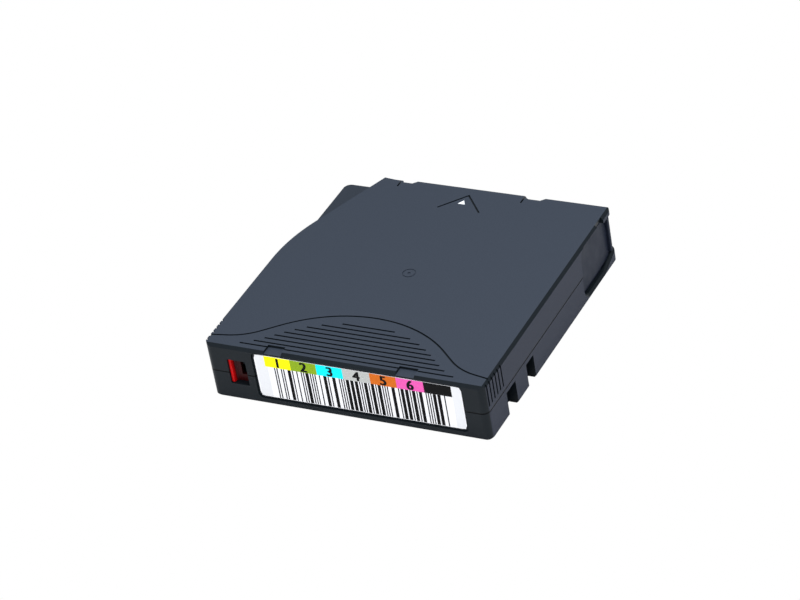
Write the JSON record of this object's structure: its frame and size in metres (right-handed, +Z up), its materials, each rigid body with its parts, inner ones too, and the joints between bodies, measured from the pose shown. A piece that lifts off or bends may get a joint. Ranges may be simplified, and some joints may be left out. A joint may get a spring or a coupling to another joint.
{
  "type": "data tape cartridge",
  "caption": "Half-inch data tape cartridge: flat two-part housing round one braked reel of tape, with a sprung side door, leader pin, write-protect tab and label recess.",
  "frame": {"origin": "middle of the footprint, on the flat underside", "axes": "+X towards the door side, +Y the way the cartridge goes into a drive, +Z up through the upper shell"},
  "size_m": [0.102, 0.1054, 0.0215],
  "materials": {
    "housing": "fine textured dark green-grey plastic",
    "door": "smooth dark plastic",
    "spring_steel": "drawn spring steel",
    "tab": "red moulded plastic",
    "label": "printed coated paper",
    "reel": "pale moulded plastic",
    "flange": "pale moulded plastic",
    "steel_plate": "stamped steel",
    "tape": "dark magnetic tape",
    "pin_steel": "turned steel",
    "clip": "dark plastic",
    "brake": "pale acetal",
    "spider": "pale acetal",
    "board": "green circuit board",
    "chip": "black resin",
    "screws": "plated steel"
  },
  "bodies": {
    "case": {"upper_shell": "housing", "lower_shell": "housing", "door_spring": "spring_steel", "barcode_label": "label", "tape_leader": "tape", "leader_pin": "pin_steel", "pin_clip": "clip", "pin_spring": "spring_steel", "brake_spring": "spring_steel", "memory_board": "board", "memory_chip": "chip", "case_screws": "screws"},
    "cover_door": {"door": "door"},
    "protect_slider": {"write_protect_tab": "tab"},
    "reel": {"reel_hub": "reel", "upper_flange": "flange", "reel_plate": "steel_plate", "tape_pack": "tape"},
    "brake": {"brake_button": "brake"},
    "spider": {"release_spider": "spider"}
  },
  "joints": [
    {"name": "door_slide", "type": "slide", "parent": "case", "child": "cover_door", "axis": [0, -1, 0], "range_m": [0, 0.021], "stiffness_N_per_m": 30, "springref_m": -0.012, "deforming": ["door_spring"]},
    {"name": "write_protect_slide", "type": "slide", "parent": "case", "child": "protect_slider", "axis": [1, 0, 0], "range_m": [0, 0.0033]},
    {"name": "reel_spin", "type": "hinge", "parent": "case", "child": "reel", "pos_m": [0, 0.0012, 0.01], "axis": [0, 0, 1], "continuous": true},
    {"name": "release_press", "type": "slide", "parent": "reel", "child": "spider", "axis": [0, 0, 1], "range_m": [0, 0.0018], "stiffness_N_per_m": 480, "springref_m": -0.01},
    {"name": "brake_lift", "type": "slide", "parent": "case", "child": "brake", "axis": [0, 0, 1], "range_m": [0, 0.0018], "deforming": ["brake_spring"]}
  ],
  "couplings": [
    {"joint": "brake_lift", "follows": "release_press", "ratio": 1}
  ]
}
